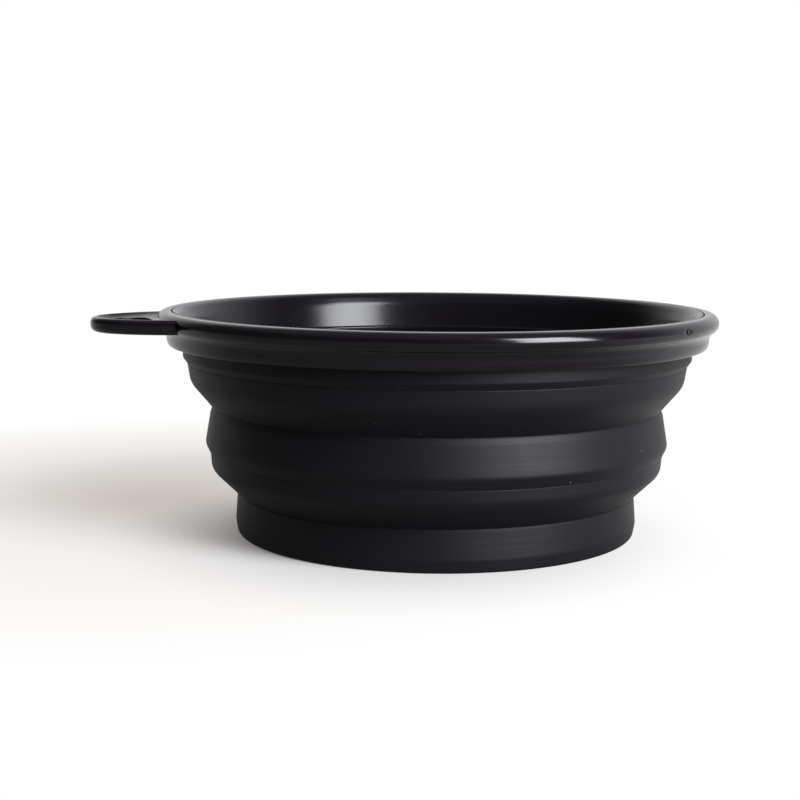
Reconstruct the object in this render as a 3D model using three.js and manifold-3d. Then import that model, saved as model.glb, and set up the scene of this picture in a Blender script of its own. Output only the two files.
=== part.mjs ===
// Collapsible silicone travel bowl for pets, standing open.
// Millimetres, +Z up. The origin is on the bowl's axis, on the face it stands on,
// and the hang loop points along -X.
import * as THREE from 'three';
import { mergeVertices } from 'three/addons/utils/BufferGeometryUtils.js';
import Module from 'manifold-3d';

const wasm = await Module();
wasm.setup();

// Heights, stacked from the face the bowl stands on up to the crest of the rim
const FLOOR_THICKNESS = 2.2;
const BASE_HEIGHT = 9.3;
const LOWER_FOLD_HEIGHT = 9.5;
const MIDDLE_HEIGHT = 10.7;
const UPPER_FOLD_HEIGHT = 10.5;
const BEAD_CHAMFER = 1.4;
const BEAD_HEIGHT = 2.85;
const SKIRT_HEIGHT = 3.65;
const NOSE_THICKNESS = 4.1;

// Outside radii, walked outwards from the base to the edge of the rim
const BASE_RADIUS = 47;
const BASE_TAPER = 0.4;
const LOWER_FOLD_SPREAD = 6.25;
const STEP_DEPTH = 1.05;
const MIDDLE_TAPER = 1.45;
const UPPER_FOLD_SPREAD = 5.35;
const LIP_REACH = 2.25;
const PARTING_ROUND = 0.7;
const CREST_LAND = 0.5;
const SKIRT_INSET = 0.05;

// Silicone walls and corners
const SILICONE_WALL = 1.5;
const COLLAR_WALL = 1.9;
const SHELF_RISE = 3.2;
const BASE_CORNER = 1.6;
const UPPER_BAND_HEIGHT = 4.4;
const UPPER_BAND_TAPER = 0.45;
const LOWER_BAND_HEIGHT = 3.2;
const LOWER_BAND_TAPER = 0.3;
const SHOULDER_ROUND = 1.5;
const MIDDLE_BELLY_HEIGHT = 2.9;
const MIDDLE_BELLY_ROUND = 1.6;

// Joint between the silicone and the hard ring
const RING_GAP = 0.3;
const LIP_THICKNESS = 1.7;
const LIP_LEAN = 1.75;
const LIP_ROUND = 2.7;
const PARTING_DROP = 0.25;
const NECK_STEP = 0.7;
const TONGUE_REACH = 1.2;
const TONGUE_THICKNESS = 1.8;
const TONGUE_BELOW_LIP = 1.6;
const SKIRT_TAPER = 0.55;
const SKIRT_ROUND = 0.3;

// Hang loop on the ring
const LOOP_REACH = 15;
const LOOP_HALF_WIDTH = 14.6;
const LOOP_ROOT_INSET = 7;
const LOOP_THICKNESS = 3;
const LOOP_BORDER = 2;
const LOOP_LEDGE = 2;
const LOOP_RECESS = 1;
const SLOT_TO_RIM = 1.2;

// Most of a side that a rounded corner may take up
const CORNER_SHARE = 0.9;

// Facets of a full turn, of the bull-nose, of a rounded corner and of the loop's outline
const TURN_FACETS = 64;
const NOSE_FACETS = 8;
const CORNER_FACETS = 3;
const LOOP_FACETS = 24;

// Heights of the fold lines and of the rim
const lowerCreaseZ = BASE_HEIGHT;
const lowerHingeZ = lowerCreaseZ + LOWER_FOLD_HEIGHT;
const upperCreaseZ = lowerHingeZ + MIDDLE_HEIGHT;
const upperHingeZ = upperCreaseZ + UPPER_FOLD_HEIGHT;
const beadBottomZ = upperHingeZ + BEAD_CHAMFER;
const skirtBottomZ = beadBottomZ + BEAD_HEIGHT;
const noseBottomZ = skirtBottomZ + SKIRT_HEIGHT;
const crestZ = noseBottomZ + NOSE_THICKNESS;
const noseMiddleZ = noseBottomZ + NOSE_THICKNESS / 2;

// Radii of the fold lines and of the rim
const lowerCreaseRadius = BASE_RADIUS - BASE_TAPER;
const lowerHingeRadius = lowerCreaseRadius + LOWER_FOLD_SPREAD;
const bellyRadius = lowerHingeRadius + STEP_DEPTH;
const upperCreaseRadius = bellyRadius - MIDDLE_TAPER;
const upperHingeRadius = upperCreaseRadius + UPPER_FOLD_SPREAD;
const beadRadius = upperHingeRadius + BEAD_CHAMFER;
const lipRadius = beadRadius + LIP_REACH;
const seatRadius = lipRadius + RING_GAP;
const noseCentreRadius = seatRadius + PARTING_ROUND + CREST_LAND;
const skirtRadius = noseCentreRadius - SKIRT_INSET;
const rimRadius = noseCentreRadius + NOSE_THICKNESS / 2;

// A corner rounded between its two neighbours, in the radius and height plane
function softCorner(before, corner, after, size) {
  const at = new THREE.Vector2(...corner);
  const ends = [before, after].map((neighbour) => {
    const side = new THREE.Vector2(...neighbour).sub(at);
    return side.setLength(Math.min(size, CORNER_SHARE * side.length())).add(at);
  });
  const curve = new THREE.QuadraticBezierCurve(ends[0], at, ends[1]);
  return curve.getPoints(CORNER_FACETS).map((point) => [point.x, point.y]);
}

// Solid of revolution from a profile that is closed on itself, or that starts and ends on the axis
function revolve(profile) {
  const points = profile.map(([radius, z]) => new THREE.Vector2(radius, z));
  const onAxis = profile[0][0] === 0;
  const geometry = new THREE.LatheGeometry(onAxis ? points : [...points, points[0]], TURN_FACETS);
  geometry.rotateX(Math.PI / 2);
  return geometry;
}

// Silicone wall with the given outside, listed from the bottom up
function siliconeWall(outside) {
  const inside = outside.map(([radius, z]) => [radius - SILICONE_WALL, z]).reverse();
  return revolve([...outside, ...inside]);
}

function solidOf(geometry) {
  const bare = geometry.clone();
  bare.deleteAttribute('normal');
  bare.deleteAttribute('uv');
  const merged = mergeVertices(bare);
  return new wasm.Manifold(new wasm.Mesh({
    numProp: 3,
    vertProperties: new Float32Array(merged.attributes.position.array),
    triVerts: new Uint32Array(merged.index.array),
  }));
}

function geometryOf(solid) {
  const mesh = solid.getMesh();
  const geometry = new THREE.BufferGeometry();
  geometry.setAttribute('position', new THREE.BufferAttribute(new Float32Array(mesh.vertProperties), 3));
  geometry.setIndex(new THREE.BufferAttribute(new Uint32Array(mesh.triVerts), 1));
  geometry.computeVertexNormals();
  return geometry;
}

// Flat plate of the given outline between two heights
function plate(outline, bottomZ, topZ) {
  const shape = new THREE.Shape(outline);
  const geometry = new THREE.ExtrudeGeometry(shape, { depth: topZ - bottomZ, bevelEnabled: false });
  geometry.translate(0, 0, bottomZ);
  return solidOf(geometry);
}

// Outer edge of the floor's upper side, on the taper of the base
const floorEdge = [BASE_RADIUS - (BASE_TAPER * FLOOR_THICKNESS) / BASE_HEIGHT, FLOOR_THICKNESS];

// Floor: the flat bottom of the silicone moulding, with a rounded edge where it meets the ground
function baseFloor() {
  const centre = [0, 0];
  const edge = softCorner(centre, [BASE_RADIUS, 0], floorEdge, BASE_CORNER);
  return revolve([centre, ...edge, floorEdge, [0, FLOOR_THICKNESS]]);
}

// Base band: the upright wall of the base, up to the lower crease
function baseBand() {
  return siliconeWall([floorEdge, [lowerCreaseRadius, lowerCreaseZ]]);
}

// Lower fold wall: a cone and a short upright band that turn inside out over the base
function lowerFoldWall() {
  const crease = [lowerCreaseRadius, lowerCreaseZ];
  const shoulder = [lowerHingeRadius - LOWER_BAND_TAPER, lowerHingeZ - LOWER_BAND_HEIGHT];
  const hinge = [lowerHingeRadius, lowerHingeZ];
  return siliconeWall([crease, ...softCorner(crease, shoulder, hinge, SHOULDER_ROUND), hinge]);
}

// Middle band: flares outwards to a belly, then steps in to the lower hinge
function middleBand() {
  const hinge = [lowerHingeRadius, lowerHingeZ];
  const belly = [bellyRadius, lowerHingeZ + MIDDLE_BELLY_HEIGHT];
  const crease = [upperCreaseRadius, upperCreaseZ];
  return siliconeWall([hinge, ...softCorner(hinge, belly, crease, MIDDLE_BELLY_ROUND), crease]);
}

// Upper fold wall: a cone and an upright band that turn inside out over the middle band
function upperFoldWall() {
  const crease = [upperCreaseRadius, upperCreaseZ];
  const shoulder = [upperHingeRadius - UPPER_BAND_TAPER, upperHingeZ - UPPER_BAND_HEIGHT];
  const hinge = [upperHingeRadius, upperHingeZ];
  return siliconeWall([crease, ...softCorner(crease, shoulder, hinge, SHOULDER_ROUND), hinge]);
}

// Collar: bead under the skirt, neck with a retaining tongue, and the lip that closes over the ring.
// Inside, a shelf above the upper hinge carries a wall that leans out to the lip.
const lipSeatZ = crestZ - LIP_THICKNESS;
const tongueTopZ = lipSeatZ - TONGUE_BELOW_LIP;
const tongueBottomZ = tongueTopZ - TONGUE_THICKNESS;
const neckRadius = beadRadius + NECK_STEP;
const collarInnerRadius = beadRadius - COLLAR_WALL;
function siliconeCollar() {
  const partingTop = [lipRadius, crestZ - PARTING_DROP];
  const shelfZ = upperHingeZ + SHELF_RISE;
  const shelfEdgeRadius = upperHingeRadius - SILICONE_WALL;
  const crestInside = [collarInnerRadius + LIP_LEAN, crestZ];
  const slopeFoot = [collarInnerRadius, shelfZ];
  return revolve([
    [upperHingeRadius, upperHingeZ],
    [beadRadius, beadBottomZ],
    [beadRadius, skirtBottomZ],
    [neckRadius, skirtBottomZ + NECK_STEP],
    [neckRadius, tongueBottomZ],
    [neckRadius + TONGUE_REACH, tongueBottomZ],
    [neckRadius + TONGUE_REACH, tongueTopZ],
    [neckRadius, tongueTopZ],
    [neckRadius, lipSeatZ],
    [lipRadius, lipSeatZ],
    partingTop,
    [lipRadius - PARTING_ROUND, crestZ],
    ...softCorner([lipRadius - PARTING_ROUND, crestZ], crestInside, slopeFoot, LIP_ROUND),
    slopeFoot,
    [shelfEdgeRadius, shelfZ],
    [shelfEdgeRadius, upperHingeZ],
  ]);
}

// Half circle of the bull-nose, from its underside round to the crest
function bullNose() {
  const size = NOSE_THICKNESS / 2;
  const points = [];
  for (let i = 0; i <= NOSE_FACETS; i += 1) {
    const angle = Math.PI * (i / NOSE_FACETS - 0.5);
    points.push([noseCentreRadius + size * Math.cos(angle), noseMiddleZ + size * Math.sin(angle)]);
  }
  return points;
}

// Section of the hard ring: skirt, bull-nose, seat for the lip and groove for the tongue
function ringSection() {
  const ringInnerRadius = neckRadius + RING_GAP;
  const grooveRadius = neckRadius + TONGUE_REACH + RING_GAP;
  return [
    [ringInnerRadius, skirtBottomZ],
    [skirtRadius - SKIRT_TAPER - SKIRT_ROUND, skirtBottomZ],
    [skirtRadius - SKIRT_TAPER, skirtBottomZ + SKIRT_ROUND],
    [skirtRadius, noseBottomZ],
    ...bullNose(),
    [seatRadius + PARTING_ROUND, crestZ],
    [seatRadius, crestZ - PARTING_DROP],
    [seatRadius, lipSeatZ],
    [ringInnerRadius, lipSeatZ],
    [ringInnerRadius, tongueTopZ + RING_GAP],
    [grooveRadius, tongueTopZ + RING_GAP],
    [grooveRadius, tongueBottomZ - RING_GAP],
    [ringInnerRadius, tongueBottomZ - RING_GAP],
  ];
}

// Outline of the hang loop, drawn in by an inset: half an ellipse that points along -X
const loopRootX = rimRadius - LOOP_ROOT_INSET;
const loopTipX = rimRadius + LOOP_REACH;
function loopOutline(inset, innerX) {
  const reach = loopTipX - loopRootX - inset;
  const halfWidth = LOOP_HALF_WIDTH - inset;
  const start = Math.asin(Math.max(0, (innerX - loopRootX) / reach));
  const points = [];
  for (let i = 0; i <= LOOP_FACETS; i += 1) {
    const angle = start + ((Math.PI - 2 * start) * i) / LOOP_FACETS;
    points.push(new THREE.Vector2(-loopRootX - reach * Math.sin(angle), halfWidth * Math.cos(angle)));
  }
  return points;
}

// Hard ring with its hang loop: a bordered plate with a recessed ledge round a slot
function rimRing() {
  const topZ = noseMiddleZ + LOOP_THICKNESS / 2;
  const bottomZ = noseMiddleZ - LOOP_THICKNESS / 2;
  const core = new THREE.CylinderGeometry(noseCentreRadius, noseCentreRadius, 2 * crestZ, TURN_FACETS);
  core.rotateX(Math.PI / 2);
  const slotEdge = rimRadius + SLOT_TO_RIM;
  const loop = plate(loopOutline(0, loopRootX), bottomZ, topZ)
    .subtract(plate(loopOutline(LOOP_BORDER, loopRootX), topZ - LOOP_RECESS, topZ + LOOP_RECESS))
    .subtract(plate(loopOutline(LOOP_BORDER + LOOP_LEDGE, slotEdge), bottomZ - LOOP_RECESS, topZ))
    .subtract(solidOf(core));
  return geometryOf(solidOf(revolve(ringSection())).add(loop));
}

const silicone = new THREE.MeshStandardMaterial({ color: 0x1d1c1f, roughness: 0.55, metalness: 0 });
const hardPlastic = new THREE.MeshStandardMaterial({ color: 0x151515, roughness: 0.3, metalness: 0 });

function piece(name, geometry, material) {
  const mesh = new THREE.Mesh(geometry, material);
  mesh.name = name;
  return mesh;
}

const bowl = new THREE.Group();
bowl.add(
  piece('base_floor', baseFloor(), silicone),
  piece('base_band', baseBand(), silicone),
  piece('lower_fold_wall', lowerFoldWall(), silicone),
  piece('middle_band', middleBand(), silicone),
  piece('upper_fold_wall', upperFoldWall(), silicone),
  piece('silicone_collar', siliconeCollar(), silicone),
  piece('rim_ring', rimRing(), hardPlastic),
);

export default bowl;
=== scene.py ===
import math

import bpy
from mathutils import Matrix, Vector


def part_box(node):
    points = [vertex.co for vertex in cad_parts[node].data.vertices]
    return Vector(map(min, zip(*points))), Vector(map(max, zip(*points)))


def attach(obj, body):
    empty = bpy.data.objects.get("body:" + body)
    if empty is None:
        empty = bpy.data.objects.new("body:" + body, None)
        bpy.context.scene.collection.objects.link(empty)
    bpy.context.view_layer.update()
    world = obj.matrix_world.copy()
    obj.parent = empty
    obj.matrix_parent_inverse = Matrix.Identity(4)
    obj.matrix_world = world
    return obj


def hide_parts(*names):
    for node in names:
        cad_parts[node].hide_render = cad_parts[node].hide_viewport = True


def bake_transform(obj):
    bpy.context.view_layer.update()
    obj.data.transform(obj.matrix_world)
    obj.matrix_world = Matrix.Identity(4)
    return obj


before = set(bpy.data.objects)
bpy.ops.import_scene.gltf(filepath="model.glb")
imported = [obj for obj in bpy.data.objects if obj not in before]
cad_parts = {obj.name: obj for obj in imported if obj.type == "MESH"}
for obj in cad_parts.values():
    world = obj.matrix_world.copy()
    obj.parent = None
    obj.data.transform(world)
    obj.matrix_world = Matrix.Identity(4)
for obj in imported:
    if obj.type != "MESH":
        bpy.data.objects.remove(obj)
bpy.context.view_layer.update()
scene = bpy.context.scene
scene.view_settings.view_transform = "Standard"

# Camera: it stands a little above the rim and looks slightly down, with the hang loop on the left
# and turned towards the lens. The numbers are those of a pinhole camera fitted to the bowl's rim,
# fold lines and base.
IMAGE_WIDTH = 800
FOCAL_LENGTH_PIXELS = 1486.3
CAMERA_AZIMUTH = math.radians(-18)
CAMERA_DISTANCE = 0.3491
CAMERA_HEIGHT = 0.0774
CAMERA_PITCH = math.radians(7.683)
CAMERA_PAN = math.radians(1.398)
CAMERA_ROLL = math.radians(0.339)

lens = bpy.data.cameras.new("camera")
lens.sensor_width = 36
lens.lens = FOCAL_LENGTH_PIXELS * lens.sensor_width / IMAGE_WIDTH
lens.clip_start = 0.01
camera = bpy.data.objects.new("camera", lens)
scene.collection.objects.link(camera)
scene.camera = camera
stand = Matrix.Rotation(CAMERA_AZIMUTH, 4, "Z")
camera.matrix_world = (
    stand
    @ Matrix.Translation((0, -CAMERA_DISTANCE, CAMERA_HEIGHT))
    @ Matrix.Rotation(CAMERA_PAN, 4, "Z")
    @ Matrix.Rotation(math.radians(90) - CAMERA_PITCH, 4, "X")
    @ Matrix.Rotation(CAMERA_ROLL, 4, "Z")
)


# Floor: a large sheet of matt white card. The camera sees it white: near the bowl it takes the shadow,
# lifted and warmed by a painted glow that is least in the middle of the shadow and none at the bowl's
# foot, and further out it turns into the even white of the background, so that no horizon shows. What
# the bowl mirrors of it is painted light: a grey, part of it glowing, that is white on the bright side
# of the room and dim on the camera's side.
FLOOR_RADIUS = 4.0
FLOOR_SIDES = 96
CARD_COLOUR = "#f8f8f8"
# Painted glow seen by the camera: it lifts and warms the shadow, least at the shadow's middle.
SHADOW_MIDDLE = stand @ Vector((-0.0733, 0.0288, 0))
SHADOW_REACH = 0.142
PAINTED_SHADOW_LIFT = 0.45
PAINTED_SHADOW_WARMTH = "#ffefe0"
FOOT_MIDDLE = stand @ Vector((-0.0056, -0.0097, 0))
FOOT_SHADE_FADES = (0.02, 0.0761)
# Painted light in what the bowl mirrors of the floor: a grey set by the side of the room, part of it
# glowing.
MIRRORED_DIM = 0.26
MIRRORED_WHITE = 1.05
MIRRORED_TURNS_AT = (-0.6, 0.9)
MIRRORED_GLOW = 0.4
BRIGHT_SIDE_AZIMUTH = math.radians(164)
bright_side = stand @ Vector((math.sin(BRIGHT_SIDE_AZIMUTH), -math.cos(BRIGHT_SIDE_AZIMUTH), 0))


def linear(colour):
    """The linear RGBA of an sRGB hex colour."""
    channels = [int(colour[i : i + 2], 16) / 255 for i in (1, 3, 5)]
    return [c / 12.92 if c <= 0.04045 else ((c + 0.055) / 1.055) ** 2.4 for c in channels] + [1.0]


def add_node(tree, kind, values=None, links=None, **settings):
    """Adds a node: settings are its own options, values its sockets' numbers, links what feeds them."""
    made = tree.nodes.new(kind)
    for name, setting in settings.items():
        setattr(made, name, setting)
    for socket, value in (values or {}).items():
        made.inputs[socket].default_value = value
    for socket, output in (links or {}).items():
        tree.links.new(output, made.inputs[socket])
    return made


def white_card():
    """Matt white card, uncoated: it gives soft shadow and no shine. For the camera a painted glow is
    mixed in, which lifts the shadow and tints it warm: its share grows away from the middle of the shadow
    to the even white of the background, and there is none close to the bowl's foot."""
    material = bpy.data.materials.new("matt_white_card")
    material.use_nodes = True
    tree = material.node_tree
    tree.nodes.clear()
    place = add_node(tree, "ShaderNodeTexCoord")
    from_shadow = add_node(
        tree,
        "ShaderNodeVectorMath",
        values={1: SHADOW_MIDDLE},
        links={0: place.outputs["Object"]},
        operation="DISTANCE",
    )
    out_of_shadow = add_node(
        tree,
        "ShaderNodeMapRange",
        values={"From Max": SHADOW_REACH, "To Min": PAINTED_SHADOW_LIFT},
        links={"Value": from_shadow.outputs["Value"]},
    )
    from_foot = add_node(
        tree,
        "ShaderNodeVectorMath",
        values={1: FOOT_MIDDLE},
        links={0: place.outputs["Object"]},
        operation="DISTANCE",
    )
    clear_of_foot = add_node(
        tree,
        "ShaderNodeMapRange",
        values={"From Min": FOOT_SHADE_FADES[0], "From Max": FOOT_SHADE_FADES[1]},
        links={"Value": from_foot.outputs["Value"]},
        interpolation_type="SMOOTHSTEP",
    )
    # Share of the painted glow: it lifts the shadow near the bowl, is the even background white further
    # out, and is none at the foot.
    white_share = add_node(
        tree,
        "ShaderNodeMath",
        links={0: out_of_shadow.outputs["Result"], 1: clear_of_foot.outputs["Result"]},
        operation="MULTIPLY",
    )
    card = add_node(tree, "ShaderNodeBsdfDiffuse", values={"Color": linear(CARD_COLOUR)})
    # Colour of the painted glow: warm in the shadow, white further out.
    white_colour = add_node(
        tree,
        "ShaderNodeMix",
        values={6: linear(PAINTED_SHADOW_WARMTH), 7: (1, 1, 1, 1)},
        links={0: out_of_shadow.outputs["Result"]},
        data_type="RGBA",
    )
    white = add_node(tree, "ShaderNodeEmission", links={"Color": white_colour.outputs[2]})
    seen = add_node(
        tree,
        "ShaderNodeMixShader",
        links={0: white_share.outputs["Value"], 1: card.outputs["BSDF"], 2: white.outputs["Emission"]},
    )
    # Painted reflection: the mirrored card is white on the bright side, dim on the camera's side, and
    # partly glows.
    outwards = add_node(
        tree, "ShaderNodeVectorMath", links={0: place.outputs["Object"]}, operation="NORMALIZE"
    )
    side = add_node(
        tree,
        "ShaderNodeVectorMath",
        values={1: bright_side},
        links={0: outwards.outputs["Vector"]},
        operation="DOT_PRODUCT",
    )
    painted_mirrored_grey = add_node(
        tree,
        "ShaderNodeMapRange",
        values={
            "From Min": MIRRORED_TURNS_AT[0],
            "From Max": MIRRORED_TURNS_AT[1],
            "To Min": MIRRORED_DIM,
            "To Max": MIRRORED_WHITE,
        },
        links={"Value": side.outputs["Value"]},
        interpolation_type="SMOOTHSTEP",
    )
    grey = painted_mirrored_grey.outputs["Result"]
    mirrored_card = add_node(tree, "ShaderNodeBsdfDiffuse", links={"Color": grey})
    mirrored_glow = add_node(tree, "ShaderNodeEmission", links={"Color": grey})
    mirrored = add_node(
        tree,
        "ShaderNodeMixShader",
        values={0: MIRRORED_GLOW},
        links={1: mirrored_card.outputs["BSDF"], 2: mirrored_glow.outputs["Emission"]},
    )
    ray = add_node(tree, "ShaderNodeLightPath")
    either = add_node(
        tree,
        "ShaderNodeMixShader",
        links={0: ray.outputs["Is Camera Ray"], 1: mirrored.outputs["Shader"], 2: seen.outputs["Shader"]},
    )
    add_node(tree, "ShaderNodeOutputMaterial", links={"Surface": either.outputs["Shader"]})
    return material


floor_mesh = bpy.data.meshes.new("floor")
floor_edge = [2 * math.pi * i / FLOOR_SIDES for i in range(FLOOR_SIDES)]
floor_mesh.from_pydata(
    [(FLOOR_RADIUS * math.cos(a), FLOOR_RADIUS * math.sin(a), 0) for a in floor_edge],
    [],
    [range(FLOOR_SIDES)],
)
floor_mesh.materials.append(white_card())
floor = bpy.data.objects.new("floor", floor_mesh)
scene.collection.objects.link(floor)

# Light: one soft panel in front on the right, a metre off and turned to the bowl, with a brighter
# middle that stands just ahead of it, and a room that is white beyond the bowl and dim behind the
# camera.
PANEL_PLACE = (0.725, -0.688, 0.60)
PANEL_TURN = math.radians(-43.5)
PANEL_WIDTH = 0.53
PANEL_HEIGHT = 0.984
PANEL_POWER = 20.6
PANEL_MIDDLE_PLACE = (0.711, -0.675, 0.60)
PANEL_MIDDLE_WIDTH = 0.285
PANEL_MIDDLE_HEIGHT = 0.64
PANEL_MIDDLE_POWER = 1.9
PANEL_COLOUR = "#fafcff"
DIM_ROOM = 0.07
WHITE_ROOM = 0.8
ROOM_TURNS_AT = (0.1, 0.75)
BRIGHT_SIDE_DIP = math.radians(12)
CEILING = 0.25
CEILING_STARTS_AT = (0.45, 0.95)
ROOM_COLOUR = "#fcfcff"

facing_bowl = Matrix.Rotation(PANEL_TURN, 4, "Z") @ Matrix.Rotation(math.radians(90), 4, "Y")
for name, place, width, tall, power in (
    ("side_panel", PANEL_PLACE, PANEL_WIDTH, PANEL_HEIGHT, PANEL_POWER),
    (
        "panel_middle",
        PANEL_MIDDLE_PLACE,
        PANEL_MIDDLE_WIDTH,
        PANEL_MIDDLE_HEIGHT,
        PANEL_MIDDLE_POWER,
    ),
):
    lamp = bpy.data.lights.new(name, "AREA")
    lamp.shape = "RECTANGLE"
    lamp.size = tall
    lamp.size_y = width
    lamp.energy = power
    lamp.color = linear(PANEL_COLOUR)[:3]
    panel = bpy.data.objects.new(name, lamp)
    scene.collection.objects.link(panel)
    panel.matrix_world = stand @ Matrix.Translation(place) @ facing_bowl

room = bpy.data.worlds.new("room")
room.use_nodes = True
room.node_tree.nodes.clear()
direction = add_node(room.node_tree, "ShaderNodeTexCoord")
beyond = add_node(
    room.node_tree,
    "ShaderNodeVectorMath",
    values={1: bright_side * math.cos(BRIGHT_SIDE_DIP) - Vector((0, 0, math.sin(BRIGHT_SIDE_DIP)))},
    links={0: direction.outputs["Generated"]},
    operation="DOT_PRODUCT",
)
wall = add_node(
    room.node_tree,
    "ShaderNodeMapRange",
    values={
        "From Min": ROOM_TURNS_AT[0],
        "From Max": ROOM_TURNS_AT[1],
        "To Min": DIM_ROOM,
        "To Max": WHITE_ROOM,
    },
    links={"Value": beyond.outputs["Value"]},
    interpolation_type="SMOOTHSTEP",
)
height = add_node(room.node_tree, "ShaderNodeSeparateXYZ", links={0: direction.outputs["Generated"]})
ceiling = add_node(
    room.node_tree,
    "ShaderNodeMapRange",
    values={"From Min": CEILING_STARTS_AT[0], "From Max": CEILING_STARTS_AT[1], "To Max": CEILING},
    links={"Value": height.outputs["Z"]},
    interpolation_type="SMOOTHSTEP",
)
brightness = add_node(
    room.node_tree,
    "ShaderNodeMath",
    links={0: wall.outputs["Result"], 1: ceiling.outputs["Result"]},
    operation="MAXIMUM",
)
lit = add_node(
    room.node_tree,
    "ShaderNodeBackground",
    values={"Color": linear(ROOM_COLOUR)},
    links={"Strength": brightness.outputs["Value"]},
)
white = add_node(room.node_tree, "ShaderNodeBackground", values={"Color": (1, 1, 1, 1), "Strength": 1.0})
ray = add_node(room.node_tree, "ShaderNodeLightPath")
either = add_node(
    room.node_tree,
    "ShaderNodeMixShader",
    links={0: ray.outputs["Is Camera Ray"], 1: lit.outputs["Background"], 2: white.outputs["Background"]},
)
add_node(room.node_tree, "ShaderNodeOutputWorld", links={"Surface": either.outputs["Shader"]})
scene.world = room


# Base: the flat bottom of the silicone bowl and its upright wall, moulded in one with the walls above.
# It is turned from its section: the foot is tucked in below a low ridge, and the wall leans in from
# there to a small sloping step under the fold above.
MM = 0.001
SEGMENTS = 224
POINT_SPACING = 0.5 * MM
ARC_STEP = math.radians(9)
FILLETS_SHARE = 0.98
WALL = 1.5 * MM
CREASE_RISE = 0.1 * MM
CREASE_STEP = 0.18 * MM
CREASE_EDGE = 0.3 * MM
CREASE_COVE = 0.3 * MM
BASE_CORNER = 0.8 * MM
BASE_FLARE = 0.35 * MM
BASE_LEAN = 0.1 * MM
BASE_TUCK = 0.5 * MM
BASE_TUCK_HEIGHT = 2.9 * MM
BASE_TUCK_ROUND = 2.0 * MM
FLOOR_FILLET = 3.0 * MM
SHARP_ANGLE = math.radians(38)
SILICONE_COLOUR = "#100d13"
SILICONE_IOR = 1.41
CLOUD_SIZE = 14 * MM
CLOUD_ROUGHNESS = 0.03
DUST_COLOUR = "#8c8a88"
DUST_SPACING = 3 * MM
DUST_STRETCH = 1 / 0.45
DUST_RADIUS = (0.05 * MM, 0.14 * MM)
MARK_LENGTH = 22 * MM
MARK_SPACING = 1.5 * MM
NOISE_SPREAD = (0.3, 0.7)


def section(corners, spacing=None, arc_steps=None):
    """A closed outline in radius and height, as (radius, height, corner number) points. Each corner
    (radius, height, fillet) becomes an arc, with as many steps as wanted. The straight run after it
    gets a point about every spacing, numbered half a corner on. Two fillets too large for the edge
    between them are made smaller alike."""
    count = len(corners)
    places = [Vector(corner[:2]) for corner in corners]
    edges = [places[(i + 1) % count] - places[i] for i in range(count)]
    turns = [math.atan2(edges[i - 1].cross(edges[i]), edges[i - 1].dot(edges[i])) for i in range(count)]
    reaches = [corners[i][2] * math.tan(abs(turns[i]) / 2) for i in range(count)]
    shares = []
    for i in range(count):
        wanted = reaches[i] + reaches[(i + 1) % count]
        shares.append(min(1, FILLETS_SHARE * edges[i].length / wanted) if wanted else 1)
    arcs = []
    for i in range(count):
        reach = reaches[i] * min(shares[i - 1], shares[i])
        if reach == 0:
            arcs.append([places[i]])
            continue
        start = places[i] - edges[i - 1].normalized() * reach
        spoke = Vector((-edges[i - 1].y, edges[i - 1].x)).normalized() * reach / math.tan(turns[i] / 2)
        steps = arc_steps or max(2, math.ceil(abs(turns[i]) / ARC_STEP))
        swings = [Matrix.Rotation(turns[i] * k / steps, 2) for k in range(steps + 1)]
        arcs.append([start + spoke - swing @ spoke for swing in swings])
    points = []
    for i in range(count):
        points += [(p.x, p.y, i) for p in arcs[i]]
        run = arcs[(i + 1) % count][0] - arcs[i][-1]
        pieces = math.ceil(run.length / spacing) if spacing else 1
        points += [(*(arcs[i][-1] + run * k / pieces), i + 0.5) for k in range(1, pieces)]
    return points


def finished(name, vertices, faces, materials, face_materials=None):
    """An object with smooth faces, sharp only at real edges, in the row frame."""
    mesh = bpy.data.meshes.new(name)
    mesh.from_pydata(vertices, [], faces)
    for material in materials:
        mesh.materials.append(material)
    if face_materials:
        mesh.polygons.foreach_set("material_index", face_materials)
    mesh.polygons.foreach_set("use_smooth", [True] * len(mesh.polygons))
    mesh.set_sharp_from_angle(angle=SHARP_ANGLE)
    made = bpy.data.objects.new(name, mesh)
    scene.collection.objects.link(made)
    return made


def turned(name, outside, inside, materials, sides=SEGMENTS):
    """A solid turned about Z. The outside's corners are listed from the bottom up and the inside's
    from the top down. The inside takes the second material."""
    on_axis = outside[0][0] == 0
    outline = section(outside + inside, POINT_SPACING)
    if on_axis:
        last = max(i for i, p in enumerate(outline) if p[2] == len(outside + inside) - 1)
        outline = outline[: last + 1]
    vertices, rings = [], []
    for radius, height, _ in outline:
        count = 1 if radius == 0 else sides
        rings.append([len(vertices) + i for i in range(count)])
        for i in range(count):
            angle = 2 * math.pi * i / sides
            vertices.append((radius * math.cos(angle), radius * math.sin(angle), height))
    faces, face_materials = [], []
    for j in range(len(rings) - 1 if on_axis else len(rings)):
        low, high = rings[j], rings[(j + 1) % len(rings)]
        within = int(len(outside) - 0.5 < outline[j][2])
        for i in range(sides):
            n = (i + 1) % sides
            corners = [low[i % len(low)], low[n % len(low)], high[n % len(high)], high[i % len(high)]]
            faces.append(list(dict.fromkeys(corners)))
            face_materials.append(within)
    return finished(name, vertices, faces, materials, face_materials)


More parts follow.
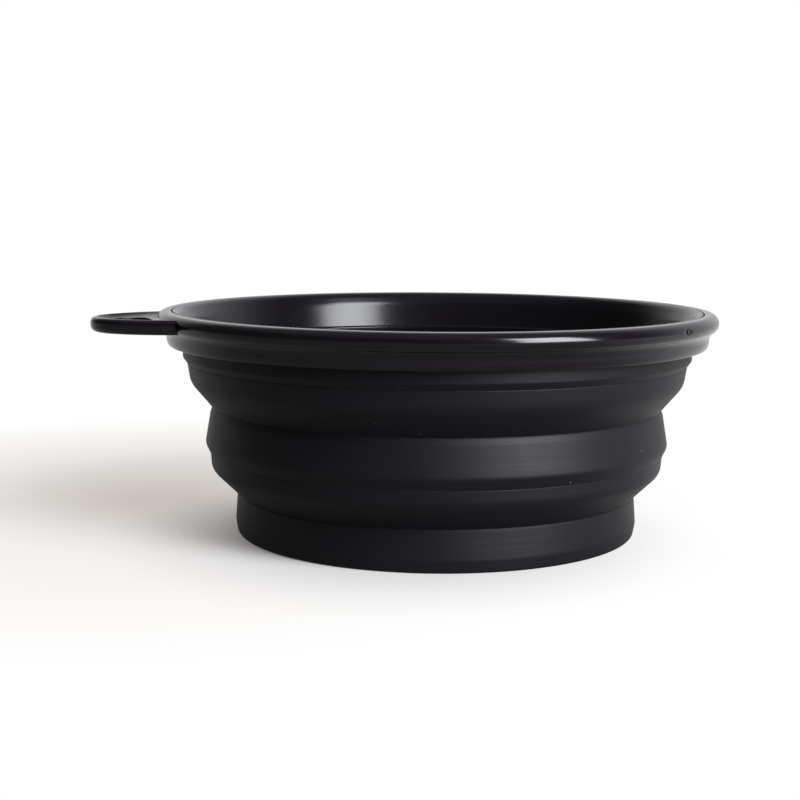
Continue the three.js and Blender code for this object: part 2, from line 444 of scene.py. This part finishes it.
def moulded_silicone(name, roughness, shine, dust_share, mark_depth=0):
    """Black silicone rubber, compression moulded: a soft satin with faint turned marks of the mould,
    some cloudiness where it has been handled, and a few specks of dust that cling to it. The marks
    are drawn coarser than real ones, so that they show. A polished mould leaves none."""
    material = bpy.data.materials.new(name)
    material.use_nodes = True
    tree = material.node_tree
    shader = tree.nodes["Principled BSDF"]
    shader.inputs["IOR"].default_value = SILICONE_IOR
    shader.inputs["Specular IOR Level"].default_value = shine
    place = add_node(tree, "ShaderNodeTexCoord").outputs["Object"]
    clouds = add_node(
        tree,
        "ShaderNodeTexNoise",
        values={"Scale": 1 / CLOUD_SIZE, "Detail": 3.0},
        links={"Vector": place},
    )
    cloudy_roughness = add_node(
        tree,
        "ShaderNodeMapRange",
        values={
            "From Min": NOISE_SPREAD[0],
            "From Max": NOISE_SPREAD[1],
            "To Min": roughness - CLOUD_ROUGHNESS,
            "To Max": roughness + CLOUD_ROUGHNESS,
        },
        links={"Value": clouds.outputs["Fac"]},
    )
    upright = add_node(
        tree,
        "ShaderNodeMapping",
        values={"Scale": (1 / DUST_SPACING, 1 / DUST_SPACING, 1 / (DUST_STRETCH * DUST_SPACING))},
        links={"Vector": place},
    )
    grains = add_node(
        tree,
        "ShaderNodeTexVoronoi",
        values={"Scale": 1.0},
        links={"Vector": upright.outputs["Vector"]},
    )
    grain_colour = add_node(tree, "ShaderNodeSeparateColor", links={"Color": grains.outputs["Color"]})
    grain_size = add_node(
        tree,
        "ShaderNodeMapRange",
        values={"To Min": DUST_RADIUS[0] / DUST_SPACING, "To Max": DUST_RADIUS[1] / DUST_SPACING},
        links={"Value": grain_colour.outputs["Green"]},
    )
    near_grain = add_node(
        tree,
        "ShaderNodeMath",
        links={0: grains.outputs["Distance"], 1: grain_size.outputs["Result"]},
        operation="LESS_THAN",
    )
    chosen_grain = add_node(
        tree,
        "ShaderNodeMath",
        values={1: dust_share},
        links={0: grain_colour.outputs["Red"]},
        operation="LESS_THAN",
    )
    dust = add_node(
        tree,
        "ShaderNodeMath",
        links={0: near_grain.outputs["Value"], 1: chosen_grain.outputs["Value"]},
        operation="MULTIPLY",
    )
    colour = add_node(
        tree,
        "ShaderNodeMix",
        values={6: linear(SILICONE_COLOUR), 7: linear(DUST_COLOUR)},
        links={0: dust.outputs["Value"]},
        data_type="RGBA",
    )
    tree.links.new(colour.outputs[2], shader.inputs["Base Color"])
    tree.links.new(cloudy_roughness.outputs["Result"], shader.inputs["Roughness"])
    if mark_depth:
        stretched = add_node(
            tree,
            "ShaderNodeMapping",
            values={"Scale": (1 / MARK_LENGTH, 1 / MARK_LENGTH, 1 / MARK_SPACING)},
            links={"Vector": place},
        )
        marks = add_node(
            tree,
            "ShaderNodeTexNoise",
            values={"Scale": 1.0, "Detail": 2.0},
            links={"Vector": stretched.outputs["Vector"]},
        )
        bump = add_node(
            tree,
            "ShaderNodeBump",
            values={"Strength": 1.0, "Distance": mark_depth},
            links={"Height": marks.outputs["Fac"]},
        )
        tree.links.new(bump.outputs["Normal"], shader.inputs["Normal"])
    return material


satin_silicone = moulded_silicone(
    "satin_moulded_silicone", roughness=0.52, shine=0.44, dust_share=0.8, mark_depth=0.05 * MM
)
polished_silicone = moulded_silicone(
    "polished_moulded_silicone", roughness=0.21, shine=0.55, dust_share=0.008
)
silicone = [satin_silicone, polished_silicone]

floor_low, floor_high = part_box("base_floor")
_, band_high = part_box("base_band")
crease_radius = floor_high.x - BASE_LEAN
crease_z = band_high.z + CREASE_RISE
foot_radius = floor_high.x + BASE_FLARE
base = turned(
    "silicone_base",
    [
        (0, floor_low.z, 0),
        (foot_radius - BASE_TUCK, floor_low.z, BASE_CORNER),
        (foot_radius, floor_low.z + BASE_TUCK_HEIGHT, BASE_TUCK_ROUND),
        (crease_radius, crease_z - CREASE_STEP, CREASE_EDGE),
        (crease_radius - CREASE_STEP / 2, crease_z - CREASE_STEP / 2, 0),
    ],
    [
        (crease_radius - WALL, crease_z - CREASE_STEP / 2, 0),
        (crease_radius - WALL, floor_high.z, FLOOR_FILLET),
        (0, floor_high.z, 0),
    ],
    silicone,
)
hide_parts("base_floor", "base_band")
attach(base, "base")


# Lower fold wall: a cone and a short upright band of the same silicone, which turn inside out over
# the base when the bowl is pushed flat.
LOWER_BAND_HEIGHT = 3.4 * MM
LOWER_BAND_TAPER = 0.25 * MM
LOWER_BAND_SWELL = 0.2 * MM
LOWER_SHOULDER_ROUND = 3.2 * MM
LOWER_STEP = 0.04 * MM


def fold_wall(name, node, crease_below, top_radius, band_height, band_taper, shoulder_round, top_step):
    """A wall that starts halfway up the sloping step of the wall below it, flares to a shoulder and
    ends in an upright band, which has the lower half of a step at its top."""
    low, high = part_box(node)
    foot_z = low.z + CREASE_RISE
    shoulder_radius = top_radius - band_taper
    shoulder_z = high.z - band_height
    return turned(
        name,
        [
            (crease_below - CREASE_STEP / 2, foot_z - CREASE_STEP / 2, 0),
            (crease_below - CREASE_STEP, foot_z, CREASE_COVE),
            (shoulder_radius, shoulder_z, shoulder_round),
            (top_radius, high.z - top_step, CREASE_EDGE),
            (top_radius - top_step / 2, high.z - top_step / 2, 0),
        ],
        [
            (top_radius - WALL, high.z - top_step / 2, 0),
            (shoulder_radius - WALL, shoulder_z, shoulder_round),
            (crease_below - WALL, foot_z - CREASE_STEP / 2, 0),
        ],
        silicone,
    )


lower_low, lower_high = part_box("lower_fold_wall")
lower_hinge_radius = lower_high.x + LOWER_BAND_SWELL
lower_wall = fold_wall(
    "silicone_lower_fold",
    "lower_fold_wall",
    crease_radius,
    lower_hinge_radius,
    LOWER_BAND_HEIGHT,
    LOWER_BAND_TAPER,
    LOWER_SHOULDER_ROUND,
    LOWER_STEP,
)
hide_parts("lower_fold_wall")
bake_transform(lower_wall)

# Middle band: the stiffer belt of silicone between the two folds, moulded in one with them. It bellies
# out low down, then leans in to the upper crease.
BELLY_HEIGHT = 2.5 * MM
BELLY_ROUND = 2.0 * MM
BELLY_SWELL = 0.5 * MM
MIDDLE_TAPER = 1.58 * MM
MIDDLE_TURN = 0.4 * MM
MIDDLE_TURN_HEIGHT = 1.4 * MM
MIDDLE_TURN_ROUND = 1.2 * MM

middle_low, middle_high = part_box("middle_band")
belly_radius = middle_high.x + BELLY_SWELL
upper_crease_radius = belly_radius - MIDDLE_TAPER
upper_crease_z = middle_high.z + CREASE_RISE
belly_z = middle_low.z + BELLY_HEIGHT
middle_band = turned(
    "silicone_middle_band",
    [
        (lower_hinge_radius - LOWER_STEP / 2, middle_low.z - LOWER_STEP / 2, 0),
        (lower_hinge_radius - LOWER_STEP, middle_low.z, CREASE_COVE),
        (belly_radius, belly_z, BELLY_ROUND),
        (upper_crease_radius + MIDDLE_TURN, upper_crease_z - MIDDLE_TURN_HEIGHT, MIDDLE_TURN_ROUND),
        (upper_crease_radius, upper_crease_z - CREASE_STEP, CREASE_EDGE),
        (upper_crease_radius - CREASE_STEP / 2, upper_crease_z - CREASE_STEP / 2, 0),
    ],
    [
        (upper_crease_radius - WALL, upper_crease_z - CREASE_STEP / 2, 0),
        (belly_radius - WALL, belly_z, BELLY_ROUND),
        (lower_hinge_radius - WALL, middle_low.z - LOWER_STEP / 2, 0),
    ],
    silicone,
)
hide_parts("middle_band")
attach(middle_band, "middle")

# Upper fold wall: a cone and an upright band like those of the lower one, of the same silicone and a
# little taller. They turn inside out over the middle band when the bowl is pushed flat.
UPPER_BAND_HEIGHT = 4.4 * MM
UPPER_BAND_TAPER = 0.65 * MM
UPPER_BAND_SWELL = 0.38 * MM
UPPER_SHOULDER_ROUND = 5.0 * MM
UPPER_STEP = 0.12 * MM

upper_low, upper_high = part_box("upper_fold_wall")
upper_hinge_radius = upper_high.x + UPPER_BAND_SWELL
upper_wall = fold_wall(
    "silicone_upper_fold",
    "upper_fold_wall",
    upper_crease_radius,
    upper_hinge_radius,
    UPPER_BAND_HEIGHT,
    UPPER_BAND_TAPER,
    UPPER_SHOULDER_ROUND,
    UPPER_STEP,
)
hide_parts("upper_fold_wall")
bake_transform(upper_wall)

# Collar: the thick upper end of the silicone. A bead shows under the ring's skirt, a tongue holds in
# the ring's groove, and a round lip closes over the ring. Inside, a wall leans out from a shelf.
BEAD_CHAMFER = 1.4 * MM
BEAD_HEIGHT = 2.85 * MM
BEAD_EDGE = 0.5 * MM
COLLAR_WALL = 1.9 * MM
SHELF_RISE = 3.2 * MM
SHELF_EDGE = 0.35 * MM
NECK_STEP = 0.7 * MM
TONGUE_REACH = 1.2 * MM
TONGUE_THICKNESS = 1.8 * MM
TONGUE_BELOW_LIP = 1.6 * MM
LIP_THICKNESS = 1.7 * MM
LIP_LEAN = 1.75 * MM
LIP_ROLL_WIDTH = 0.95 * MM
LIP_ROLL_DEPTH = 2.8 * MM
LIP_ROUND = 2.5 * MM
LIP_ROLL_END = 3.0 * MM
LIP_EDGE = 0.15 * MM
HIDDEN_EDGE = 0.2 * MM

collar_low, collar_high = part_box("silicone_collar")
lip_radius = collar_high.x
crest_z = collar_high.z
bead_radius = upper_high.x + BEAD_CHAMFER
bead_top_z = collar_low.z + BEAD_CHAMFER + BEAD_HEIGHT
neck_radius = bead_radius + NECK_STEP
tongue_radius = neck_radius + TONGUE_REACH
lip_seat_z = crest_z - LIP_THICKNESS
tongue_top_z = lip_seat_z - TONGUE_BELOW_LIP
tongue_bottom_z = tongue_top_z - TONGUE_THICKNESS
collar_inner_radius = bead_radius - COLLAR_WALL
shelf_z = collar_low.z + SHELF_RISE
lip_inner_radius = collar_inner_radius + LIP_LEAN
roll_end_radius = lip_inner_radius - LIP_LEAN * LIP_ROLL_DEPTH / (crest_z - shelf_z)
collar = turned(
    "silicone_collar_and_lip",
    [
        (upper_hinge_radius - UPPER_STEP / 2, collar_low.z - UPPER_STEP / 2, 0),
        (bead_radius, collar_low.z + BEAD_CHAMFER, BEAD_EDGE),
        (bead_radius, bead_top_z, 0),
        (neck_radius, bead_top_z + NECK_STEP, HIDDEN_EDGE),
        (neck_radius, tongue_bottom_z, HIDDEN_EDGE),
        (tongue_radius, tongue_bottom_z, HIDDEN_EDGE),
        (tongue_radius, tongue_top_z, HIDDEN_EDGE),
        (neck_radius, tongue_top_z, HIDDEN_EDGE),
        (neck_radius, lip_seat_z, HIDDEN_EDGE),
        (lip_radius, lip_seat_z, HIDDEN_EDGE),
    ],
    [
        (lip_radius, crest_z, LIP_EDGE),
        (lip_inner_radius + LIP_ROLL_WIDTH, crest_z, LIP_ROUND),
        (roll_end_radius, crest_z - LIP_ROLL_DEPTH, LIP_ROLL_END),
        (collar_inner_radius, shelf_z, SHELF_EDGE),
        (upper_hinge_radius - WALL, shelf_z, SHELF_EDGE),
        (upper_hinge_radius - WALL, collar_low.z - UPPER_STEP / 2, 0),
    ],
    silicone,
)
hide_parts("silicone_collar")
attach(collar, "rim")


# Rim ring: the hard ring that the silicone is clipped into, injection moulded in polypropylene. It is
# turned from its section: a bull-nose edge, a hollow under it, a short skirt, and inside a seat for
# the lip and a groove for the tongue.
RING_GAP = 0.3 * MM
NOSE_RADIUS = 2.05 * MM
SKIRT_INSET = 0.05 * MM
SKIRT_TAPER = 0.55 * MM
SKIRT_BEND = 3.0 * MM
SKIRT_EDGE = 0.35 * MM
NOSE_HOLLOW = 2.4 * MM
NOSE_STEPS = 24
HOLLOW_STEPS = 10
PARTING_EDGE = 0.15 * MM
POLYPROPYLENE_COLOUR = "#110c11"
POLYPROPYLENE_IOR = 1.49
FLOW_LENGTH = 25 * MM
FLOW_SPACING = 0.6 * MM
FLOW_ROUGHNESS = (0.14, 0.17)


def moulded_polypropylene():
    """Black polypropylene, injection moulded in a finely polished tool: a low gloss with faint flow
    lines that run round the ring."""
    material = bpy.data.materials.new("moulded_black_polypropylene")
    material.use_nodes = True
    tree = material.node_tree
    shader = tree.nodes["Principled BSDF"]
    shader.inputs["Base Color"].default_value = linear(POLYPROPYLENE_COLOUR)
    shader.inputs["IOR"].default_value = POLYPROPYLENE_IOR
    place = add_node(tree, "ShaderNodeTexCoord").outputs["Object"]
    stretched = add_node(
        tree,
        "ShaderNodeMapping",
        values={"Scale": (1 / FLOW_LENGTH, 1 / FLOW_LENGTH, 1 / FLOW_SPACING)},
        links={"Vector": place},
    )
    flow = add_node(
        tree,
        "ShaderNodeTexNoise",
        values={"Scale": 1.0, "Detail": 2.0},
        links={"Vector": stretched.outputs["Vector"]},
    )
    gloss = add_node(
        tree,
        "ShaderNodeMapRange",
        values={
            "From Min": NOISE_SPREAD[0],
            "From Max": NOISE_SPREAD[1],
            "To Min": FLOW_ROUGHNESS[0],
            "To Max": FLOW_ROUGHNESS[1],
        },
        links={"Value": flow.outputs["Fac"]},
    )
    tree.links.new(gloss.outputs["Result"], shader.inputs["Roughness"])
    return material


polypropylene = moulded_polypropylene()
ring_low, ring_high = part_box("rim_ring")
rim_radius = ring_high.x
nose_centre_radius = rim_radius - NOSE_RADIUS
nose_z = crest_z - NOSE_RADIUS
skirt_radius = nose_centre_radius - SKIRT_INSET
seat_radius = lip_radius + RING_GAP
ring_inner_radius = neck_radius + RING_GAP
groove_radius = tongue_radius + RING_GAP
hollow_dx = skirt_radius + NOSE_HOLLOW - nose_centre_radius
hollow_dz = math.sqrt((NOSE_RADIUS + NOSE_HOLLOW) ** 2 - hollow_dx**2)
hollow_angle = math.atan2(hollow_dz, hollow_dx)
skirt_top_z = nose_z - hollow_dz


def arc(centre_radius, centre_z, radius, start, end, steps):
    """Corners along an arc, from one angle to another."""
    angles = [start + (end - start) * k / steps for k in range(steps + 1)]
    return [(centre_radius + radius * math.cos(a), centre_z + radius * math.sin(a), 0) for a in angles]


ring = turned(
    "hard_rim_ring",
    [
        (ring_inner_radius, ring_low.z, HIDDEN_EDGE),
        (skirt_radius - SKIRT_TAPER, ring_low.z, SKIRT_EDGE),
        (skirt_radius, (ring_low.z + skirt_top_z) / 2, SKIRT_BEND),
        *arc(
            skirt_radius + NOSE_HOLLOW,
            skirt_top_z,
            NOSE_HOLLOW,
            math.pi,
            math.pi - hollow_angle,
            HOLLOW_STEPS,
        ),
        *arc(nose_centre_radius, nose_z, NOSE_RADIUS, -hollow_angle, math.pi / 2, NOSE_STEPS)[1:],
        (seat_radius, crest_z, PARTING_EDGE),
        (seat_radius, lip_seat_z, 0),
        (ring_inner_radius, lip_seat_z, 0),
        (ring_inner_radius, tongue_top_z + RING_GAP, 0),
        (groove_radius, tongue_top_z + RING_GAP, 0),
        (groove_radius, tongue_bottom_z - RING_GAP, 0),
        (ring_inner_radius, tongue_bottom_z - RING_GAP, 0),
    ],
    [],
    [polypropylene],
)

# Hang loop: a flat loop moulded in one with the ring, with a shallow dish on top and a slot for a hook.
# Its section is drawn in each direction from the slot's middle, and it is then joined to the ring.
LOOP_ROOT_INSET = 7.0 * MM
LOOP_HALF_WIDTH = 14.6 * MM
LOOP_RISE = 1.5 * MM
LOOP_DROP = 1.8 * MM
LOOP_BORDER = 1.25 * MM
LOOP_ROUND = 1.15 * MM
LOOP_UNDER_ROUND = 1.5 * MM
LOOP_CREST = 0.35 * MM
DISH_DEPTH = 0.95 * MM
DISH_WALL_WIDTH_SHARE = 0.3
DISH_WALL_DEPTH_SHARE = 0.7
DISH_COVE = 12 * MM
SLOT_TO_RIM = 1.4 * MM
SLOT_CORNER = 2.2 * MM
SLOT_HALF_WIDTH = 7.6 * MM
SLOT_TO_TIP = 4.1 * MM
SLOT_EDGE = 0.2 * MM
SLOT_POWER = 2.8
LOOP_STATIONS = 180
LOOP_ARC_STEPS = 8
EDGE_ROOT_DEPTH = 2.2 * MM
BORDER_ROOT_DEPTH = 1.76 * MM
FAR_AWAY = 1.0

loop_root = rim_radius - LOOP_ROOT_INSET
loop_reach = -ring_low.x - loop_root
slot_middle = rim_radius + SLOT_TO_RIM + SLOT_CORNER
slot_reach = -ring_low.x - SLOT_TO_TIP - slot_middle


def ellipse_distance(angle, inset):
    """How far the loop's half ellipse, drawn in by an inset, lies from the slot's middle."""
    reach, half_width = loop_reach - inset, LOOP_HALF_WIDTH - inset
    shift = slot_middle - loop_root
    a = (math.cos(angle) / reach) ** 2 + (math.sin(angle) / half_width) ** 2
    b = shift * math.cos(angle) / reach**2
    c = (shift / reach) ** 2 - 1
    return (math.sqrt(b * b - a * c) - b) / a


def root_distance(angle, radius):
    """How far a circle about the bowl's axis lies from the slot's middle; far away if it is missed."""
    along = slot_middle * math.cos(angle)
    inside = along**2 - slot_middle**2 + radius**2
    return -along - math.sqrt(inside) if along < 0 < inside else FAR_AWAY


def slot_distance(angle):
    """How far the slot's edge lies from its middle: straight along the rim, rounded towards the tip."""
    along = math.cos(angle) / (slot_reach if math.cos(angle) > 0 else SLOT_CORNER)
    across = math.sin(angle) / SLOT_HALF_WIDTH
    return (abs(along) ** SLOT_POWER + abs(across) ** SLOT_POWER) ** (-1 / SLOT_POWER)


loop_top = nose_z + LOOP_RISE
loop_bottom = nose_z - LOOP_DROP
loop_vertices, loop_faces = [], []
for i in range(LOOP_STATIONS):
    angle = 2 * math.pi * i / LOOP_STATIONS
    edge = min(ellipse_distance(angle, 0), root_distance(angle, rim_radius - EDGE_ROOT_DEPTH))
    border = min(
        ellipse_distance(angle, LOOP_BORDER), root_distance(angle, rim_radius - BORDER_ROOT_DEPTH)
    )
    slot = slot_distance(angle)
    wall_foot = border - DISH_WALL_WIDTH_SHARE * (border - slot)
    station = section(
        [
            (slot, loop_bottom, SLOT_EDGE),
            (edge, loop_bottom, LOOP_UNDER_ROUND),
            (edge, loop_top, LOOP_ROUND),
            (border, loop_top, LOOP_CREST),
            (wall_foot, loop_top - DISH_WALL_DEPTH_SHARE * DISH_DEPTH, DISH_COVE),
            (slot, loop_top - DISH_DEPTH, SLOT_EDGE),
        ],
        arc_steps=LOOP_ARC_STEPS,
    )
    count = len(station)
    for distance, height, _ in station:
        loop_vertices.append(
            (-slot_middle - distance * math.cos(angle), distance * math.sin(angle), height)
        )
    n = (i + 1) % LOOP_STATIONS
    for j in range(count):
        k = (j + 1) % count
        loop_faces.append((i * count + j, i * count + k, n * count + k, n * count + j))
loop = finished("hang_loop", loop_vertices, loop_faces, [polypropylene])


def joined(target, tool, operation):
    """Joins or cuts target with tool, and removes the tool."""
    step = target.modifiers.new("join", "BOOLEAN")
    step.operation = operation
    step.solver = "EXACT"
    step.object = tool
    mesh = bpy.data.meshes.new_from_object(target.evaluated_get(bpy.context.evaluated_depsgraph_get()))
    target.modifiers.clear()
    target.data = mesh
    mesh.set_sharp_from_angle(angle=SHARP_ANGLE)
    bpy.data.objects.remove(tool)


joined(ring, loop, "UNION")

# Gate mark: where the sprue was broken off the ring after moulding, it leaves a shallow round pit with
# a stub in it, on the nose of the ring.
GATE_AZIMUTH = math.radians(-53.8)
GATE_RISE = math.radians(9)
GATE_SIDES = 32
PIT_DEPTH = 0.22 * MM
PIT_FLOOR_RADIUS = 0.48 * MM
PIT_COVE = 1.2 * MM
PIT_CUT_RADIUS = 2.4 * MM
PIT_CUT_RISE = 0.44 * MM
STUB_RADIUS = 0.5 * MM
STUB_HEIGHT = 0.1 * MM
STUB_ROOT = 0.66 * MM
STUB_EDGE = 0.2 * MM

pit = turned(
    "gate_pit",
    [(0, -PIT_DEPTH, 0), (PIT_FLOOR_RADIUS, -PIT_DEPTH, PIT_COVE), (PIT_CUT_RADIUS, PIT_CUT_RISE, 0)],
    [(0, PIT_CUT_RISE, 0)],
    [polypropylene],
    GATE_SIDES,
)
stub = turned(
    "gate_stub",
    [(0, -STUB_ROOT, 0), (STUB_RADIUS, -STUB_ROOT, 0), (STUB_RADIUS, STUB_HEIGHT, STUB_EDGE)],
    [(0, STUB_HEIGHT, 0)],
    [polypropylene],
    GATE_SIDES,
)
gate = (
    Matrix.Rotation(GATE_AZIMUTH, 4, "Z")
    @ Matrix.Translation((nose_centre_radius, 0, nose_z))
    @ Matrix.Rotation(-GATE_RISE, 4, "Y")
    @ Matrix.Translation((NOSE_RADIUS, 0, 0))
    @ Matrix.Rotation(math.radians(90), 4, "Y")
)
pit.data.transform(gate)
stub.data.transform(gate)
joined(ring, pit, "DIFFERENCE")
joined(ring, stub, "UNION")
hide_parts("rim_ring")
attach(ring, "rim")
